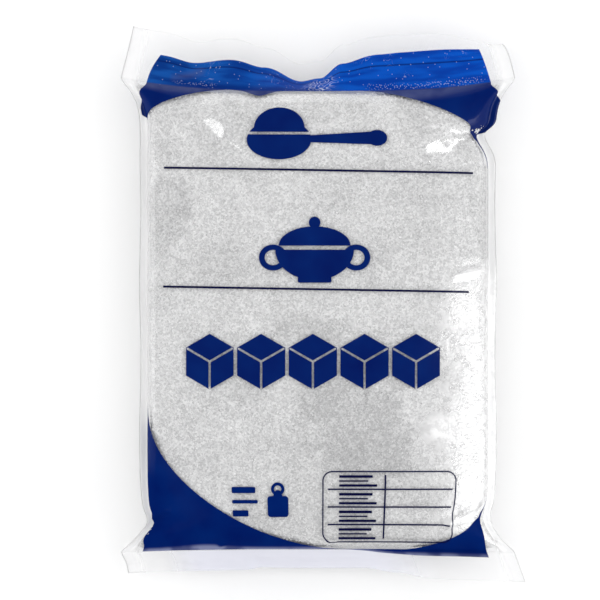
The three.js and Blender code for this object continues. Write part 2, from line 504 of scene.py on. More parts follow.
def heap(points, shortest, longest, seed, count=90):
    """A random sum of waves, about one high."""
    pick = np.random.default_rng(seed)
    total = np.zeros(points.shape[:-1])
    for _ in range(count):
        heading = pick.normal(size=3)
        length = shortest * (longest / shortest) ** pick.uniform()
        phase = points @ (heading / np.linalg.norm(heading)) * 2 * np.pi / length
        total += np.cos(phase + pick.uniform(0, 7))
    return total / np.sqrt(count / 2)


sugar_front, sugar_back = sugar_grids()
rough = GRAIN_HEIGHT * heap(sugar_front, **GRAIN) + SWELL_HEIGHT * heap(sugar_front, **SWELL)
sugar_front = sugar_front + grid_normals(sugar_front) * rough[..., None]
sugar = closed_skin("sugar_body", sugar_front, sugar_back, BACK_EVERY)
print("sugar faces:", len(sugar.data.polygons), f"roughness {rough.std():.2f} mm")

# %% [markdown]
# ## Shader maths in Python
# A printed pattern is sums on the film's place. Wiring each sum by hand hides what it means, so one small
# class wraps a socket: Python's own operators add Math nodes, and one method adds any other node.

# %% A socket that does sums
class Wire:
    """An output socket of a shader tree."""

    def __init__(self, tree, socket=None):
        self.tree, self.socket = tree, socket

    def node(self, kind, settings=None, inputs=None, output=0):
        made = self.tree.nodes.new(kind)
        for name, value in (settings or {}).items():
            setattr(made, name, value)
        for name, value in (inputs or {}).items():
            if isinstance(value, Wire):
                self.tree.links.new(value.socket, made.inputs[name])
            else:
                made.inputs[name].default_value = value
        return Wire(self.tree, made.outputs[output])

    def math(self, operation, *others, clamp=False):
        values = dict(enumerate((self, *others)))
        return self.node("ShaderNodeMath", {"operation": operation, "use_clamp": clamp}, values)

    def __add__(self, other):
        return self.math("ADD", other)

    def __sub__(self, other):
        return self.math("SUBTRACT", other)

    def __rsub__(self, other):
        return self.node("ShaderNodeMath", {"operation": "SUBTRACT"}, {0: other, 1: self})

    def __mul__(self, other):
        return self.math("MULTIPLY", other)

    def __truediv__(self, other):
        return self.math("DIVIDE", other)

    def __pow__(self, other):
        return self.math("POWER", other)

    def __abs__(self):
        return self.math("ABSOLUTE")

    __radd__ = __add__
    __rmul__ = __mul__

    def vector(self, operation, *others, output="Vector"):
        values = dict(enumerate((self, *others)))
        return self.node("ShaderNodeVectorMath", {"operation": operation}, values, output)

    def larger(self, other):
        return self.math("MAXIMUM", other)

    def smaller(self, other):
        return self.math("MINIMUM", other)

    def clamped(self):
        """Kept between 0 and 1."""
        return self.math("ADD", 0.0, clamp=True)

    def between(self, low, high):
        """0 below low, 1 above high, and a smooth step from one to the other."""
        inputs = {"Value": self, "From Min": low, "From Max": high}
        return self.node("ShaderNodeMapRange", {"interpolation_type": "SMOOTHSTEP"}, inputs)

    def plateau(self, start, full, ebb, end):
        """0, then 1 from full to ebb, then 0 again."""
        return self.between(start, full) * (1 - self.between(ebb, end))

    def inside(self, soft=0.2):
        """1 where a distance is below zero, with an edge that is soft millimetres wide."""
        return self.math("MULTIPLY_ADD", -1 / soft, 0.5, clamp=True)

    def bell(self, middle, reach):
        """1 at the middle, fading to both sides."""
        return (((self - middle) / reach) ** 2 * -1).math("EXPONENT")


def finish(name):
    material = bpy.data.materials.new(name)
    material.use_nodes = True
    material.node_tree.nodes.clear()
    return material, Wire(material.node_tree)


def surface(wire, shader):
    out = wire.tree.nodes.new("ShaderNodeOutputMaterial")
    wire.tree.links.new(shader.socket, out.inputs["Surface"])


abilities = [name for name in vars(Wire) if callable(getattr(Wire, name))]
print("a socket knows", len(abilities), "things to do")

# %% [markdown]
# ## Shapes on the film
# The print is flat colour with crisp edges, so each shape is a signed distance in millimetres: below zero
# inside, above zero outside. Shapes join with the smaller of two distances and cut with the larger. Vector
# Math nodes take both coordinates at once, which needs half as many nodes as Math on each.

# %% Distances to simple shapes
def point(u, v):
    return u.node("ShaderNodeCombineXYZ", inputs={"X": u, "Y": v})


def disc(u, v, at, radius):
    return point(u, v).vector("DISTANCE", (*at, 0), output="Value") - radius


def oval(u, v, at, wide, high):
    """Close to a true distance near the edge, which is all that ink needs."""
    shrink, shift = (1 / wide, 1 / high, 0), (-at[0] / wide, -at[1] / high, 0)
    away = point(u, v).vector("MULTIPLY_ADD", shrink, shift).vector("LENGTH", output="Value")
    return (away - 1) * min(wide, high)


def slab(u, v, at, wide, high, corner=0.0):
    half = (wide / 2 - corner, high / 2 - corner, 0)
    over = point(u, v).vector("SUBTRACT", (*at, 0)).vector("ABSOLUTE").vector("SUBTRACT", half)
    across = over.node("ShaderNodeSeparateXYZ", inputs={0: over}, output="X")
    along = over.node("ShaderNodeSeparateXYZ", inputs={0: over}, output="Y")
    if corner == 0:
        return across.larger(along)
    outside = over.vector("MAXIMUM", (0, 0, 0)).vector("LENGTH", output="Value")
    return outside + across.larger(along).smaller(0.0) - corner


def stroke(u, v, start, end, start_radius, end_radius=None):
    """A straight line with round ends, which may taper."""
    run = np.subtract(end, start)
    share = run / float(run @ run)
    away = point(u, v).vector("SUBTRACT", (*start, 0))
    along = away.vector("DOT_PRODUCT", (float(share[0]), float(share[1]), 0), output="Value")
    along = along.clamped()
    reached = along.node("ShaderNodeVectorMath", {"operation": "SCALE"},
                         {0: (float(run[0]), float(run[1]), 0), "Scale": along})
    distance = away.vector("DISTANCE", reached, output="Value")
    if end_radius is None:
        return distance - start_radius
    return distance - along.math("MULTIPLY_ADD", end_radius - start_radius, start_radius)


def outline(distance, wide):
    return abs(distance) - wide / 2


print("shapes:", ", ".join(shape.__name__ for shape in (disc, oval, slab, stroke, outline)))

# %% [markdown]
# ## The blue field and its window
# The ink covers a rectangle of film and leaves a large clear window in it, with four different corners.
# Each corner is an oval quarter, so the window is the largest of four sums of powers.

# %% Window and blue field
CORNERS = [  # middle u and v, reach across and along, power
    (-40.0, 80.0, -49.5, 22.6, 1.6),
    (20.0, 66.0, 68.0, 36.6, 1.58),
    (15.0, -15.0, -102.0, -87.5, 1.9),
    (24.0, -74.0, 57.5, -29.6, 2.05),
]
PRINT_TOP, PRINT_BOTTOM, WELD_PLACE = 118.6, -102.7, BODY_LENGTH / 2
HALF_PRINT = 81.0  # across
WINDOW_TOP = 102.6
DENT_AT, DENT_REACH, DENT_DEPTH = -27.0, 6.0, 2.6  # in the top of the window
BULGE_LEFT, BULGE_RIGHT = 8.6, 10.5  # of the ink at the top corners
STEP_FROM, STEP_TO, STEP = 10.0, 35.0, 2.7  # the bottom edge is lower on the right


def window(u, v):
    worst = None
    for u0, v0, wide, high, power in CORNERS:
        across = ((u - u0) / wide).larger(0.0)
        along = ((v - v0) / high).larger(0.0)
        past = ((across ** power + along ** power) - 1) * (min(abs(wide), abs(high)) / power)
        worst = past if worst is None else worst.larger(past)
    dent = u.bell(DENT_AT, DENT_REACH) * DENT_DEPTH
    return worst.larger(v - (WINDOW_TOP - dent))


def blue_field(u, v):
    bulge_left = v.plateau(86.0, 89.5, 91.0, 103.0) * BULGE_LEFT
    bulge_right = v.plateau(80.5, 83.0, 93.0, 102.0) * BULGE_RIGHT
    beyond = (v - WELD_PLACE).larger(0.0)
    low = v * -1
    left = HALF_PRINT + bulge_left + (low.between(32.0, 50.0) - low.between(92.0, 101.0)) * 6.0
    left = left - v.between(98.0, 103.0) * 2.0 - beyond * beyond * 0.0175
    right = HALF_PRINT + bulge_right - low.between(78.0, 90.0) * 3.0
    right = right - v.between(98.0, 103.0) * 1.2 - beyond * 0.1
    sheet = (u - right).larger(u * -1 - left).larger(v - u * 0.022 - PRINT_TOP)
    sheet = sheet.larger(PRINT_BOTTOM - u.between(STEP_FROM, STEP_TO) * STEP - v)
    edge_line = stroke(u, v, (80.5, 84.0), (81.5, 68.0), 2.0, 0.4)
    return sheet.larger(window(u, v) * -1).smaller(edge_line)


print(f"print from {PRINT_BOTTOM} to {PRINT_TOP} mm, with a window of {len(CORNERS)} corners")

# %% [markdown]
# ## Plain drawings
# In the window stand drawings that say what is inside: a heaped teaspoon, a sugar bowl, a row of lumps, a
# small weight with three bars, and a small table, with two thin rules between them. They could be curves
# laid on the film, but as distances on the film's own places they bend with it and cost no mesh.

# %% Teaspoon and sugar bowl
SPOON_MIDDLE, SPOON_BRIM = -17.5, 83.3
POT_MIDDLE, POT_BRIM, LID_BRIM = -1.5, 31.5, 33.3


def teaspoon(u, v):
    bowl = oval(u, v, (SPOON_MIDDLE, 80.5), 14.5, 8.8)
    handle = stroke(u, v, (-5.0, 80.8), (25.5, 81.2), 1.5, 2.9)
    tip = oval(u, v, (26.5, 81.2), 4.6, 3.5)
    heap_top = oval(u, v, (SPOON_MIDDLE, 85.5), 11.5, 9.3).larger(83.6 - v)
    split = outline(v - SPOON_BRIM, 1.1).larger(abs(u - SPOON_MIDDLE) - 16.0)
    return bowl.smaller(handle).smaller(tip).smaller(heap_top).larger(split * -1)


def sugar_bowl(u, v):
    pot = oval(u, v, (POT_MIDDLE, POT_BRIM), 17.5, 13.5).larger(v - POT_BRIM)
    lid = oval(u, v, (POT_MIDDLE, LID_BRIM), 16.0, 8.6).larger(LID_BRIM - v)
    knob = disc(u, v, (POT_MIDDLE, 43.6), 2.6)
    foot = slab(u, v, (POT_MIDDLE, 18.2), 15.0, 2.8, 0.8)
    bowl = pot.smaller(lid).smaller(knob).smaller(foot)
    for side in (-1, 1):
        ear = oval(u, v, (POT_MIDDLE + side * 18.5, 28.0), 5.0, 4.6)
        bowl = bowl.smaller(outline(ear, 2.4))
    return bowl


print("drawn with ovals:", teaspoon.__name__, sugar_bowl.__name__)

# %% Sugar lumps
CUBE_SIZE, CUBE_LINE, CUBE_PITCH, CUBE_COUNT = 12.4, 0.95, 23.0, 5
CUBES_MIDDLE, CUBES_LEVEL = -2.3, -18.3  # u and v of the row's middle


def lump(u, v, at, size):
    """A cube seen from a corner: a hexagon with a clear line along each near edge."""
    across, along = abs(u - at[0]), abs(v - at[1])
    hexagon = (across * 0.5 + along * 0.866).larger(across) - size * 0.866
    edges = slab(u, v, (at[0], at[1] - size * 0.5), CUBE_LINE, size)
    for side in (-1, 1):
        corner = at[0] + side * size * 0.8, at[1] + size * 0.46
        edges = edges.smaller(stroke(u, v, at, corner, CUBE_LINE / 2))
    return hexagon.larger(edges * -1)


def row_of_lumps(u, v):
    """One lump, repeated by wrapping the place across."""
    half_row = CUBE_PITCH * CUBE_COUNT / 2
    first = CUBES_MIDDLE - half_row
    wrapped = u.math("WRAP", first + CUBE_PITCH, first)
    one = lump(wrapped, v, (first + CUBE_PITCH / 2, CUBES_LEVEL), CUBE_SIZE)
    return one.larger(abs(u - CUBES_MIDDLE) - half_row)


print("drawn once and repeated:", row_of_lumps.__name__)

# %% Weight, bars, table and rules
WEIGHT_MIDDLE, BARS_LEFT = -18.0, -38.6
BARS = [(-75.4, 10.6, 2.8), (-80.6, 11.6, 1.6), (-85.8, 7.2, 2.8)]  # v, width and height
TABLE_TOP, TABLE_MIDDLE, TABLE_WIDTH = -67.2, 32.0, 59.6
ROW_PITCH, ROW_COUNT, ENTRY_LEFT = 7.9, 4, 9.4
ENTRIES = [(2.2, 15.0, 1.2), (4.2, 13.0, 0.7), (6.2, 17.0, 1.1)]  # drop in a row, width and height
RULE_HEIGHT, RULE_SLOPE = 0.95, 0.0175


def weight_mark(u, v):
    mark = slab(u, v, (WEIGHT_MIDDLE, -82.8), 9.4, 9.4, 1.4)
    mark = mark.smaller(stroke(u, v, (WEIGHT_MIDDLE, -78.6), (WEIGHT_MIDDLE, -77.0), 2.4, 1.6))
    mark = mark.smaller(outline(disc(u, v, (WEIGHT_MIDDLE, -75.0), 2.3), 1.4))
    for v0, wide, high in BARS:
        mark = mark.smaller(slab(u, v, (BARS_LEFT + wide / 2, v0), wide, high, 0.6))
    return mark


def small_table(u, v):
    """A box with one row of lines and bars, repeated by wrapping the place along."""
    tall = ROW_PITCH * ROW_COUNT
    middle = TABLE_TOP - tall / 2
    box = outline(slab(u, v, (TABLE_MIDDLE, middle), TABLE_WIDTH, tall, 4.2), 0.62)
    row = v.math("WRAP", TABLE_TOP, TABLE_TOP - ROW_PITCH)
    lines = slab(u, row, (32.4, TABLE_TOP), 56.0, 0.72)
    lines = lines.smaller(slab(u, row, (32.4, TABLE_TOP - ROW_PITCH), 56.0, 0.72))
    for drop, wide, high in ENTRIES:
        lines = lines.smaller(slab(u, row, (ENTRY_LEFT + wide / 2, TABLE_TOP - drop), wide, high, 0.3))
    lines = lines.larger(abs(v - middle) - (tall / 2 - 1.0))
    return box.smaller(lines).smaller(slab(u, v, (30.0, middle), 0.8, tall - 3.0))


def rule(u, v, at, wide):
    return slab(u, v + u * RULE_SLOPE, at, wide, RULE_HEIGHT, 0.3)


print("drawn with slabs:", weight_mark.__name__, small_table.__name__, rule.__name__)

# %% [markdown]
# ## Colour of the ink
# On the body the ink lies over sugar and is deep navy. On the top flap nothing stands behind it and light
# comes through, so the same ink is painted a bright, streaky blue: painted light, lighter to the right,
# with painted shade by the weld. Where the film bends hard at the welds it mirrors its surroundings, and
# the ink is painted greyish there as a painted sheen. On the flap, white dots and rings are painted
# glints, with a few scratches. The film is flat when it is printed, so all noise here is two-dimensional,
# which is also quicker.

# %% Noise, cells and colour mixes
def noise(place, scale, detail, **more):
    inputs = {"Vector": place, "Scale": scale, "Detail": detail, **more}
    return place.node("ShaderNodeTexNoise", {"noise_dimensions": "2D"}, inputs)


def cells(place, scale):
    inputs = {"Vector": place, "Scale": scale}
    return place.node("ShaderNodeTexVoronoi", {"voronoi_dimensions": "2D"}, inputs)


def blend(share, low, high):
    inputs = {"Factor": share, 6: low, 7: high}
    return share.node("ShaderNodeMix", {"data_type": "RGBA"}, inputs, output=2)


print("colours come from:", noise.__name__, cells.__name__, blend.__name__)

# %% Ink colour
NAVY_DEEP, NAVY_LIT = (0.0004, 0.006, 0.090, 1), (0.0008, 0.018, 0.140, 1)
# Painted sheens, greyish, where the bent film at the low and the top weld mirrors its surroundings.
LOW_WELD_SHEEN, TOP_WELD_SHEEN = (0.230, 0.250, 0.400, 1), (0.060, 0.076, 0.195, 1)  # at the low and the top weld
# Painted light on the flap: the colours of its shaded and lit streaks, at the left and at the right.
SHADED_LEFT, SHADED_RIGHT = (0.0020, 0.034, 0.210, 1), (0.0008, 0.044, 0.350, 1)
LIT_LEFT, LIT_RIGHT = (0.0060, 0.078, 0.350, 1), (0.0014, 0.080, 0.490, 1)
# Painted shade on the flap by the weld, and the seal line's own darker ink.
WELD_SHADE_INK, SEAL_INK = (0.0010, 0.020, 0.170, 1), (0.001, 0.010, 0.10, 1)
# Painted glints on the flap, also the colour of its few scratches.
GLINT_AND_SCRATCH_WHITE = (0.75, 0.80, 0.92, 1)
SEAL_AT, SEAL_WIDTH = 114.0, 0.7


def cloudy(place):
    return noise(place, 0.07, 2.0)


def navy(cloud):
    return blend(cloud, NAVY_DEEP, NAVY_LIT)


def low_ink_and_sheen(place, u, v):
    """Navy, with a greyish painted sheen where the film bends at the bottom weld."""
    cloud = cloudy(place)
    # Painted sheen along the bent film at the bottom weld, wider towards the left.
    lifted = u.bell(-52.0, 14.0) * 1.4
    weld_sheen = (lifted - v - u.between(STEP_FROM, STEP_TO) * STEP).between(100.6, 102.6)
    weld_sheen = weld_sheen * (0.3 + cloud.between(0.36, 0.56) * 0.7)
    return blend(weld_sheen * 0.85, navy(cloud), LOW_WELD_SHEEN)


def lit_flap_ink(u, v):
    """Painted light through the flap, bright and streaky, with painted shade by the weld, and darker along
    the seal's line.
    """
    # Painted light through the flap, in shaded and lit streaks and lighter to the right, with painted
    # shade by the weld.
    stretched = point(u * 0.045, v * 0.24)
    streaks = noise(stretched, 1.0, 2.0).between(0.32, 0.66)
    to_right = u.between(-70.0, 40.0)
    shaded = blend(to_right, SHADED_LEFT, SHADED_RIGHT)
    lit = blend(to_right, LIT_LEFT, LIT_RIGHT)
    weld_shade = (1 - v.between(103.0, 109.0)) * (1 - abs(u + 32.0).between(28.0, 48.0))
    bright = blend(weld_shade * 0.9, blend(streaks, shaded, lit), WELD_SHADE_INK)
    return blend(outline(v - SEAL_AT, SEAL_WIDTH).inside(0.5) * 0.75, bright, SEAL_INK)


def glints_and_scratches(place, u, v, cloud):
    """Painted glints: dots by the weld, rings where the film is gathered, scattered dots; and a few curled
    scratches.
    """
    # Painted highlights: white rings and dots where the gathered film by the weld would catch the light.
    gathered = (u.bell(0.5, 7.0) * v.bell(109.0, 7.0)).between(0.15, 0.6)
    rings = (noise(place, 0.22, 0.0) * 4.5).math("PINGPONG", 0.5)
    dotted = outline(v - 104.4, 2.4).inside(0.8) * (abs(u - 50.0) - 26.0).inside(6.0)
    dotted = dotted.larger(outline(v - 104.8, 1.6).inside(0.8) * (abs(u + 57.0) - 9.0).inside(4.0))
    glint_dots = (rings - 0.10).inside(0.12) * gathered * 0.75
    glint_dots = glint_dots.larger((cells(place, 0.95) - 0.15).inside(0.14) * dotted * 0.7)
    glint_dots = glint_dots.larger((cells(place, 0.21) - 0.03).inside(0.05) * 0.7)
    curls = noise(place, 0.17, 1.0, Distortion=1.5)
    scratch = (abs(curls - 0.5) - 0.003).inside(0.006) * (1 - cloud.between(0.34, 0.44))
    return glint_dots.larger(scratch * 0.5)


def top_ink_and_sheen(place, u, v):
    """Navy, painted bright above the weld, a greyish painted sheen at the bend, painted glints on the
    flap.
    """
    on_flap = v.between(WELD_PLACE - 0.4, WELD_PLACE + 0.6)
    cloud = cloudy(place)
    blue = blend(on_flap, navy(cloud), lit_flap_ink(u, v))
    # Painted sheen below the top weld, and one painted streak of sheen on the flap.
    slope = (u - 45.0).larger(0.0) * -0.12 + u.between(-20.0, 20.0) * 2.5
    weld_sheen = (v + slope).between(98.6, 102.6) * (1 - on_flap) * (0.5 + cloud.between(0.36, 0.56) * 0.5)
    sheen = stroke(u, v, (-67.0, 107.0), (-56.0, 112.0), 0.8, 1.8).inside(3.5)
    blue = blend(weld_sheen.larger(sheen * 0.55) * 0.95, blue, TOP_WELD_SHEEN)
    # Painted glints on the flap.
    return blend(glints_and_scratches(place, u, v, cloud) * on_flap * 0.8, blue, GLINT_AND_SCRATCH_WHITE)


print("inks:", navy.__name__, low_ink_and_sheen.__name__, lit_flap_ink.__name__, top_ink_and_sheen.__name__)

# %% [markdown]
# ## Creased film
# Film lifted off the sugar looks milky, and here its white also stands for highlights: painted highlights
# in a few creases, in one round patch and on the whole right shoulder, where a painted wash of light is
# torn into flecks. Fine bumps there break up the reflections.

# %% Creases
# White strokes along the creases: partly whitened film, partly painted glints.
CREASES = [  # from, to, radius at each end
    ((61.5, -89.8), (80.0, -82.5), 0.5, 1.3),
    ((62.5, -90.0), (78.0, -88.0), 0.4, 0.9),
    ((66.5, -82.0), (76.5, -73.0), 0.4, 0.7),
    ((63.0, -80.5), (71.0, -70.5), 0.3, 0.6),
    ((61.0, 19.5), (68.5, 22.2), 0.5, 1.2),
    ((68.5, 22.2), (77.5, 22.0), 1.2, 0.7),
    ((77.5, 22.0), (68.2, 7.0), 0.4, 0.3),
    ((-74.0, 84.5), (-69.2, 80.8), 0.3, 0.5),
    ((47.5, 85.3), (54.5, 86.0), 0.2, 0.5),
    ((43.6, 72.7), (47.6, 70.6), 0.4, 0.3),
]


def right_shoulder(u, v):
    return u.between(42.0, 64.0) * (1 - v.between(4.0, 24.0)) * v.between(-104.0, -92.0)


def crease_milk_and_highlights(place, u, v):
    creases = 0.0
    for start, end, first, last in CREASES:
        creases = stroke(u, v, start, end, first, last).inside(1.2).larger(creases)
    # A round painted highlight, and on the right shoulder a painted wash of light in flecks.
    highlight_blot = u.bell(53.5, 8.0) * v.bell(-48.0, 6.0)
    torn = noise(place, 0.22, 3.0).between(0.34, 0.62)
    return right_shoulder(u, v) * (0.15 + torn * 0.32) + highlight_blot * (0.55 + torn * 0.2) + creases * 0.45


print(len(CREASES), "creases")

# %% [markdown]
# ## Film finish
# Clear film is nearly nothing: it lets light through, mirrors a little more of it at a slant, and has a
# faint haze. So the clear part mixes Transparent with Glossy, plus a little white. In a few zones the
# mirror gives way to a near-black paint, a painted shade that keeps the mirror's darkening without its
# reflections. Ink is an opaque blue under the same gloss. All the print in one material would be worked
# out for every ray through plain film too. So the film has zones, plain, top, middle and low, each with
# or without creases. One function makes all eight finishes, and each face gets its own.

# %% What is printed in each zone
def top_print(place, u, v):
    """Share of solid ink, share of thin dark lines, and the ink's colour."""
    solid = blue_field(u, v).smaller(teaspoon(u, v)).inside()
    return solid, rule(u, v, (0.3, 66.9), 139.6).inside(), top_ink_and_sheen(place, u, v)


def middle_print(place, u, v):
    solid = sugar_bowl(u, v).smaller(row_of_lumps(u, v)).inside()
    return solid, rule(u, v, (-1.0, 13.9), 138.0).inside(), navy(cloudy(place))


def low_print(place, u, v):
    solid = blue_field(u, v).smaller(weight_mark(u, v)).inside()
    return solid, small_table(u, v).inside(), low_ink_and_sheen(place, u, v)


ZONES = {"clear": None, "top": top_print, "middle": middle_print, "low": low_print}
print("zones:", ", ".join(ZONES))

# %% Parts of the film finish
def mixed(share, first, second):
    return share.node("ShaderNodeMixShader", inputs={0: share, 1: first, 2: second})


def paint(wire, colour, roughness, specular, **more):
    inputs = {"Base Color": colour, "Roughness": roughness, "Specular IOR Level": specular, **more}
    return wire.node("ShaderNodeBsdfPrincipled", inputs=inputs, output="BSDF")


def mirror_shade_zones(u, v):
    """Zones where the mirror gives way to painted shade: the low part, the top right and a strip on the
    right.
    """
    low = (v * -1).between(46.0, 62.0) * (1 - u.between(54.0, 64.0))
    top = v.between(83.0, 85.0) * u.between(30.0, 40.0)
    strip = v.plateau(24.0, 30.0, 68.0, 71.0) * u.between(40.0, 50.0)
    return low.larger(top).larger(strip)


def low_flap(u, v):
    """The flap under the print, where the clear film is a little lavender."""
    across = u.plateau(-75.0, -55.0, 20.0, 55.0)
    return (v * -1).between(WELD_PLACE, WELD_PLACE + 1.0) * across


print("parts of the finish:", mixed.__name__, paint.__name__, mirror_shade_zones.__name__, low_flap.__name__)

# %% Film finish
GLOSS_ROUGHNESS, SHOULDER_ROUGHNESS = 0.19, 0.07
MILK, FLAP_MILK, EDGE_MILK, MOST_MILK = 0.03, 0.10, 0.65, 0.92
MIRROR, SLANT_MIRROR, INK_MIRROR, INK_SLANT_MIRROR = 0.085, 0.2, 0.008, 0.10
FLAP_DULL, MIRROR_SHADE_SHARE, LOW_DULL, LAVENDER_SHARE = 0.94, 0.94, 0.95, 0.55
# The near-black colour below is painted shade, put in place of the mirror in a few zones.
WHITE, HAZE, MIRROR_SHADE = (1, 1, 1, 1), (0.97, 0.97, 0.975, 1), (0.02, 0.02, 0.02, 1)
FILM_TINT, LAVENDER, LINE_INK = (0.99, 0.99, 0.992, 1), (0.86, 0.87, 1.0, 1), (0.0035, 0.0045, 0.0380, 1)


def film_material(name, zone_print, creased):
    material, wire = finish(name)
    place = wire.node("ShaderNodeUVMap", {"uv_map": "film_place"})
    u = wire.node("ShaderNodeSeparateXYZ", inputs={0: place}, output="X")
    v = wire.node("ShaderNodeSeparateXYZ", inputs={0: place}, output="Y")
    on_back = u.between(0.4 * BACK, 0.6 * BACK)
    u = u - on_back * BACK
    on_flaps = abs(v).between(WELD_PLACE, WELD_PLACE + 1.0)
    milk_and_highlights = MILK + on_flaps * FLAP_MILK + abs(u).between(82.0, 87.0) * EDGE_MILK
    bent, roughness = {}, GLOSS_ROUGHNESS
    if creased:
        shoulder = right_shoulder(u, v)
        relief = {"Strength": 0.6, "Distance": 0.0003, "Height": noise(place, 0.9, 1.0) * shoulder}
        bent["Normal"] = wire.node("ShaderNodeBump", inputs=relief)
        roughness = GLOSS_ROUGHNESS + shoulder * SHOULDER_ROUGHNESS
        # Milky film plus painted highlights in the creases, a round patch and on the right shoulder.
        milk_and_highlights = (milk_and_highlights + crease_milk_and_highlights(place, u, v)).smaller(MOST_MILK)

    slant = wire.node("ShaderNodeLayerWeight", inputs={"Blend": 0.5, **bent}, output="Facing")
    mirror = (slant ** 5 * SLANT_MIRROR + MIRROR) * (1 - on_flaps * FLAP_DULL)
    clear = wire.node("ShaderNodeBsdfTransparent", inputs={"Color": FILM_TINT})
    gloss = wire.node("ShaderNodeBsdfGlossy", inputs={"Color": WHITE, "Roughness": roughness, **bent})
    # Painted shade: near-black paint in place of the mirror in those zones.
    gloss_or_shade = mixed(mirror_shade_zones(u, v) * (1 - on_back) * MIRROR_SHADE_SHARE, gloss, paint(wire, MIRROR_SHADE, 0.9, 0.0))
    look = mixed(milk_and_highlights, mixed(mirror, clear, gloss_or_shade), paint(wire, HAZE, 0.4, 0.5, **bent))
    if zone_print is not None:
        look = mixed(low_flap(u, v) * LAVENDER_SHARE, look, paint(wire, LAVENDER, 0.4, 0.5))
        solid, thin, blue = zone_print(place, u, v)
        blue = blend(thin, blue, LINE_INK)
        low = (v * -1).between(60.0, 72.0)
        shine = (slant ** 5 * INK_SLANT_MIRROR + INK_MIRROR) * (1 - low * LOW_DULL)
        look = mixed(solid.larger(thin), look, mixed(shine, paint(wire, blue, 0.5, 0.0), gloss))
    surface(wire, look)
    print(name, "nodes:", len(material.node_tree.nodes))
    return material


for creased in (False, True):
    for zone, zone_print in ZONES.items():
        name = zone + ("_creased_film" if creased else "_film")
        film.data.materials.append(film_material(name, zone_print, creased))

# %% Which face gets which
# Boxes of film places: left, right, low and high.
OPEN_WINDOW = [(-92, 92, -31, 64), (-92, 78, 63, 79.5), (-68, 92, -62, -30)]
DRAWN = [
    (-34, 33, 70, 96),
    (-28.5, 25.5, 15, 48),
    (-61.5, 57, -32.5, -4),
    (-72, 72, 63.5, 70),
    (-72, 72, 11, 17),
]
CREASED = [(36, 92, -104, 92), (-77, -66, 78, 88)]
middle_u = (U[:-1, :-1] + U[1:, 1:]) / 2
middle_v = (V[:-1, :-1] + V[1:, 1:]) / 2


def within(boxes):
    found = np.zeros(middle_u.shape, bool)
    for left, right, low, high in boxes:
        found |= (middle_u > left) & (middle_u < right) & (middle_v > low) & (middle_v < high)
    return found


zones = np.select([middle_v > 60, middle_v > -31.5], [1, 2], 3)  # top, middle and low
kinds = zones * (~within(OPEN_WINDOW) | within(DRAWN)) + len(ZONES) * within(CREASED)
face_kinds = np.zeros(len(film.data.polygons), np.int32)
face_kinds[: kinds.size] = kinds.ravel()
film.data.polygons.foreach_set("material_index", face_kinds)
print("faces of each film finish:", np.bincount(face_kinds))

# %% [markdown]
# ## Sugar finish
# A heap of sugar is white, but its gaps are dark and each crystal has its own brightness. Small Voronoi
# cells give the crystals their tone, and slow noise with a few listed ovals makes some patches darker.

# %% Sugar material
TONE_SHARE, PATCH_SHARE, DARKER = 0.72, 0.6, 0.155
DARK_PATCHES = [  # middle x and y, reach across and along, all in metres, and depth
    (0.0175, -0.0545, 0.023, 0.020, 0.32),
    (-0.0690, 0.0420, 0.010, 0.020, 0.15),
    (-0.0440, 0.0190, 0.012, 0.008, 0.14),
    (-0.0060, -0.0106, 0.019, 0.006, 0.16),
]


def sugar_material(name, light, dark, cell):
    material, wire = finish(name)
    here = wire.node("ShaderNodeTexCoord", output="Object")
    x = wire.node("ShaderNodeSeparateXYZ", inputs={0: here}, output="X")
    y = wire.node("ShaderNodeSeparateXYZ", inputs={0: here}, output="Y")
    crystal = wire.node("ShaderNodeTexVoronoi", inputs={"Vector": here, "Scale": cell}, output="Color")
    tone = wire.node("ShaderNodeSeparateColor", inputs={0: crystal}, output="Red")
    patch = wire.node("ShaderNodeTexNoise", inputs={"Vector": here, "Scale": 60.0, "Detail": 3.0})
    share = tone * TONE_SHARE + patch * PATCH_SHARE - DARKER
    # Ovals where the sugar's colour is made darker, with noisy edges.
    for x0, y0, wide, high, depth in DARK_PATCHES:
        away = oval(x, y, (x0, y0), wide, high) / min(wide, high) + 1
        share = share - (away + (patch - 0.5) * 1.6).between(1.3, 0.75) * depth
    colour = blend(share.clamped(), dark, light)
    grit = wire.node("ShaderNodeTexNoise", inputs={"Vector": here, "Scale": cell * 0.8, "Detail": 1.0})
    bump = wire.node("ShaderNodeBump", inputs={"Strength": 0.6, "Distance": 0.0005, "Height": grit})
    surface(wire, paint(wire, colour, 0.45, 0.5, Normal=bump))
    return material


heap_finish = sugar_material("heaped_sugar", (0.915, 0.915, 0.915, 1), (0.49, 0.49, 0.495, 1), 1250.0)
crystal_finish = sugar_material("sugar_crystal", (0.955, 0.955, 0.955, 1), (0.58, 0.58, 0.585, 1), 900.0)
sugar.data.materials.append(heap_finish)
print("sugar nodes:", len(heap_finish.node_tree.nodes), "darkened patches:", len(DARK_PATCHES))

# %% [markdown]
# ## Loose crystals
# Thousands of crystals press against the film. Geometry Nodes scatter points on the sugar, put a small
# block on each with its own size and turn, and realise them, because a plain mesh is what travels. A
# particle system would do too, but a node tree shows its sizes as named inputs and always draws the same.

# %% Crystal scatter
CRYSTAL_INPUTS = {
    "Per square metre": ("NodeSocketFloat", 430000.0),
    "Smallest": ("NodeSocketFloat", 0.5),
    "Largest": ("NodeSocketFloat", 1.15),
    "Size": ("NodeSocketFloat", 0.00070),
    "Seed": ("NodeSocketInt", 11),
    "Finish": ("NodeSocketMaterial", crystal_finish),
}
FACES_UP, FULL_TURN = 0.02, 6.283  # least rise of a normal that gets crystals, and radians


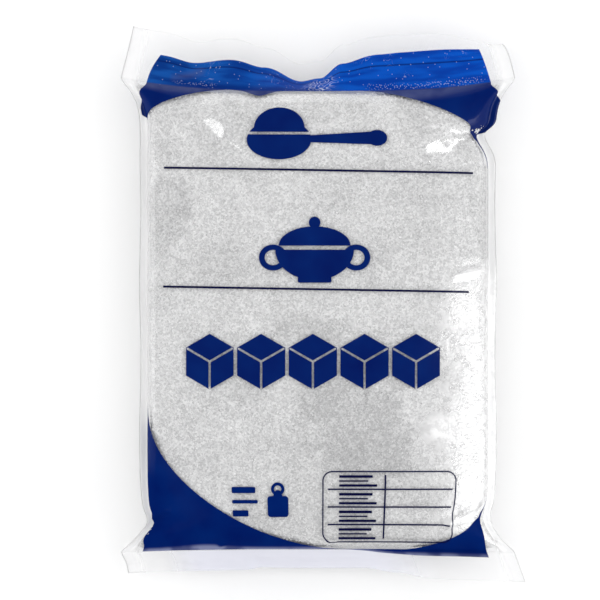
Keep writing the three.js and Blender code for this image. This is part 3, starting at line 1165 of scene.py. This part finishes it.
def crystal_tree():
    tree = bpy.data.node_groups.new("crystal_scatter", "GeometryNodeTree")
    sockets = tree.interface
    sockets.new_socket("Sugar", in_out="INPUT", socket_type="NodeSocketGeometry")
    for name, (kind, _) in CRYSTAL_INPUTS.items():
        sockets.new_socket(name, in_out="INPUT", socket_type=kind)
    sockets.new_socket("Crystals", in_out="OUTPUT", socket_type="NodeSocketGeometry")
    return tree


def fill_crystal_tree(tree):
    def node(kind, **settings):
        made = tree.nodes.new(kind)
        for name, value in settings.items():
            setattr(made, name, value)
        return made

    def link(a, a_name, b, b_name):
        tree.links.new(a.outputs[a_name], b.inputs[b_name])

    given, result = node("NodeGroupInput"), node("NodeGroupOutput")
    points = node("GeometryNodeDistributePointsOnFaces")
    normal, parts = node("GeometryNodeInputNormal"), node("ShaderNodeSeparateXYZ")
    upward = node("FunctionNodeCompare", operation="GREATER_THAN")
    upward.inputs[1].default_value = FACES_UP
    block = node("GeometryNodeMeshCube")
    turn = node("FunctionNodeRandomValue", data_type="FLOAT_VECTOR")
    turn.inputs["Max"].default_value = (FULL_TURN,) * 3
    size = node("FunctionNodeRandomValue", data_type="FLOAT")
    whole = node("ShaderNodeCombineXYZ")
    spread = node("GeometryNodeInstanceOnPoints")
    real, painted = node("GeometryNodeRealizeInstances"), node("GeometryNodeSetMaterial")
    link(given, "Sugar", points, "Mesh")
    link(given, "Per square metre", points, "Density")
    link(given, "Seed", points, "Seed")
    link(normal, "Normal", parts, "Vector")
    link(parts, "Z", upward, 0)
    link(upward, "Result", points, "Selection")
    for axis in "XYZ":
        link(given, "Size", whole, axis)
    link(whole, "Vector", block, "Size")
    link(given, "Smallest", size, 2)
    link(given, "Largest", size, 3)
    link(given, "Seed", size, "Seed")
    link(points, "Points", spread, "Points")
    link(block, "Mesh", spread, "Instance")
    link(turn, "Value", spread, "Rotation")
    link(size, 1, spread, "Scale")
    link(spread, "Instances", real, "Geometry")
    link(real, "Geometry", painted, "Geometry")
    link(given, "Finish", painted, "Material")
    link(painted, "Geometry", result, "Crystals")


crystal_nodes = crystal_tree()
fill_crystal_tree(crystal_nodes)
print("scatter nodes:", len(crystal_nodes.nodes))

# %% Turn the scatter into a plain mesh
carrier = bpy.data.objects.new("crystal_carrier", sugar.data.copy())
bpy.context.scene.collection.objects.link(carrier)
scatter = carrier.modifiers.new("scatter", "NODES")
scatter.node_group = crystal_nodes
for item in crystal_nodes.interface.items_tree:
    if item.in_out == "INPUT" and item.name in CRYSTAL_INPUTS:
        scatter[item.identifier] = CRYSTAL_INPUTS[item.name][1]
drawn = carrier.evaluated_get(bpy.context.evaluated_depsgraph_get())
crystals = bpy.data.objects.new("sugar_crystals", bpy.data.meshes.new_from_object(drawn))
bpy.context.scene.collection.objects.link(crystals)
carrier.modifiers.remove(scatter)
bpy.data.objects.remove(carrier)
print("crystals:", len(crystals.data.polygons) // 6)

# %% [markdown]
# ## Join the frame
# Every piece rides on the packet's one body. The film stands for the plain solid of the frame.

# %% Ride and replace
for piece in (film, sugar, crystals):
    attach(piece, "root")
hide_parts("filled_bag")
print("pieces:", film.name, sugar.name, crystals.name)

# %% [markdown]
# ## Floor, light and camera
# A pale floor and soft light from both sides, as in a small studio. Gloss needs something to mirror: a
# long, low window and a bright table at the right make the white wash on the film's right shoulder, and
# two small panels make the glints on the ridges near the top. They are only mirrored, and the key and
# the fill only light, so that each can be set by itself. The camera looks straight down, as the
# photograph does.

# %% Floor
FLOOR_SIZE, BELOW_PACKET = 8.0, 0.0005
bpy.ops.mesh.primitive_plane_add(size=FLOOR_SIZE, location=(0, 0, -BELOW_PACKET))
floor = bpy.context.object
floor.name = "floor"
floor_finish, wire = finish("pale_floor")
surface(wire, paint(wire, (0.985, 0.985, 0.985, 1), 0.9, 0.5))
floor.data.materials.append(floor_finish)
print("floor:", tuple(round(side, 1) for side in floor.dimensions))

# %% Light
scene = bpy.context.scene
scene.view_settings.view_transform = "Standard"
scene.world = bpy.data.worlds.new("studio")
scene.world.use_nodes = True
scene.world.node_tree.nodes["Background"].inputs["Color"].default_value = (1.0, 1.0, 1.0, 1)
scene.world.cycles_visibility.glossy = False


def light_panel(name, at, aim, wide, high, glow, shines=True, mirrored=True):
    """A rectangle of light. glow is its brightness, whatever its size."""
    data = bpy.data.lights.new(name, "AREA")
    data.shape, data.size, data.size_y = "RECTANGLE", wide, high
    data.energy = glow * np.pi * wide * high
    panel = bpy.data.objects.new(name, data)
    panel.location = at
    panel.rotation_euler = (Vector(aim) - Vector(at)).to_track_quat("-Z", "Y").to_euler()
    panel.visible_camera, panel.visible_diffuse, panel.visible_glossy = False, shines, mirrored
    scene.collection.objects.link(panel)


def on_dome(azimuth, elevation, distance):
    azimuth, elevation = np.radians(azimuth), np.radians(elevation)
    flat = distance * np.cos(elevation)
    return flat * np.cos(azimuth), flat * np.sin(azimuth), distance * np.sin(elevation)


light_panel("window_right", (0.62, -0.21, 0.37), (0.0, -0.21, 0.06), 0.40, 0.68, 7.0, shines=False)
light_panel("bright_table_right", (0.40, -0.21, 0.002), (0.40, -0.21, 1.0), 0.50, 0.40, 4.0, shines=False)
light_panel("glint_left", on_dome(-142, 42, 1.1), (-0.02, 0.04, 0.04), 0.55, 0.42, 4.5, shines=False)
light_panel("glint_right", on_dome(-55, 34, 1.1), (0.03, 0.04, 0.04), 0.50, 0.40, 5.5, shines=False)
light_panel("key_right", (0.75, 0.25, 0.75), (0.0, 0.0, 0.0), 0.8, 0.8, 0.85, mirrored=False)
light_panel("fill_left", (-0.80, 0.10, 0.55), (0.0, 0.0, 0.0), 0.8, 0.8, 0.58, mirrored=False)
print("panels of light:", len(bpy.data.lights))

# %% Camera
PIXEL, CAMERA_HEIGHT = 0.445, 3.0  # millimetres to a pixel, and metres
HALF_IMAGE, BODY_ACROSS, BODY_DOWN = 300, 318, 320.5  # pixels: half the image, and the body's middle
FRONT_HEIGHT = 0.04  # metres over the floor, where the scale of the image holds
body_middle = to_frame[:2]
aim_x = (body_middle[0] + (HALF_IMAGE - BODY_ACROSS) * PIXEL) / 1000
aim_y = (body_middle[1] + (BODY_DOWN - HALF_IMAGE) * PIXEL) / 1000
camera_data = bpy.data.cameras.new("camera")
camera = bpy.data.objects.new("camera", camera_data)
camera.location = (aim_x, aim_y, CAMERA_HEIGHT)
half_view = HALF_IMAGE * PIXEL / 1000
camera_data.lens = camera_data.sensor_width / 2 / (half_view / (CAMERA_HEIGHT - FRONT_HEIGHT))
scene.collection.objects.link(camera)
scene.camera = camera
print(f"lens {camera_data.lens:.0f} mm at {CAMERA_HEIGHT} m")
